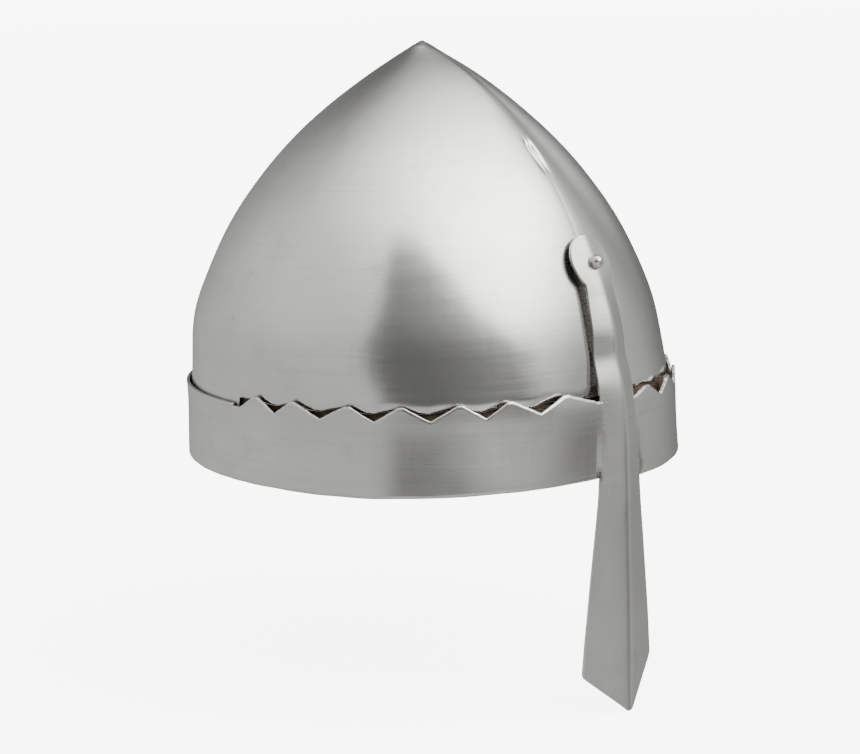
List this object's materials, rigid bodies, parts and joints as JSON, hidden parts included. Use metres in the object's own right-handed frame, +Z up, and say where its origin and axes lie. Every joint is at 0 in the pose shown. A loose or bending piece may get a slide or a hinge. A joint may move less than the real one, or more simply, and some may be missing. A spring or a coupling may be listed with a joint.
{
  "type": "nasal helmet",
  "caption": "Pointed steel helmet with a median ridge, a zigzag-edged brow band, a long riveted nose guard and a laced leather liner.",
  "frame": {"origin": "centre of the head opening, in the plane of the brow band's lower rim", "axes": "+Z up through the apex, -Y forward (the nasal's side), +X to the wearer's left"},
  "size_m": [0.2042, 0.2209, 0.2705],
  "materials": {
    "skull_steel": "satin, hand polished",
    "band_steel": "satin, hand polished",
    "nasal_steel": "satin, hand polished",
    "weld_steel": "ground weld",
    "rivet_steel": "hammered round head",
    "leather": "vegetable tanned, dark brown",
    "lace": "cut lace",
    "thread": "waxed linen"
  },
  "bodies": {
    "root": {"skull_right": "skull_steel", "skull_left": "skull_steel", "crest_weld_front": "weld_steel", "crest_weld_rear": "weld_steel", "apex_bead": "weld_steel", "brow_band_right": "band_steel", "brow_band_left": "band_steel", "rear_band": "band_steel", "seam_welds": "weld_steel", "band_tacks": "weld_steel", "nasal": "nasal_steel", "nasal_welds": "weld_steel", "nasal_rivet": "rivet_steel", "rivet_washer": "rivet_steel", "liner_band": "leather", "liner_petal_1": "leather", "liner_petal_2": "leather", "liner_petal_3": "leather", "liner_petal_4": "leather", "liner_petal_5": "leather", "liner_petal_6": "leather", "liner_petal_7": "leather", "liner_petal_8": "leather", "lace": "lace", "lace_knot": "lace", "stitches": "thread"}
  },
  "joints": []
}
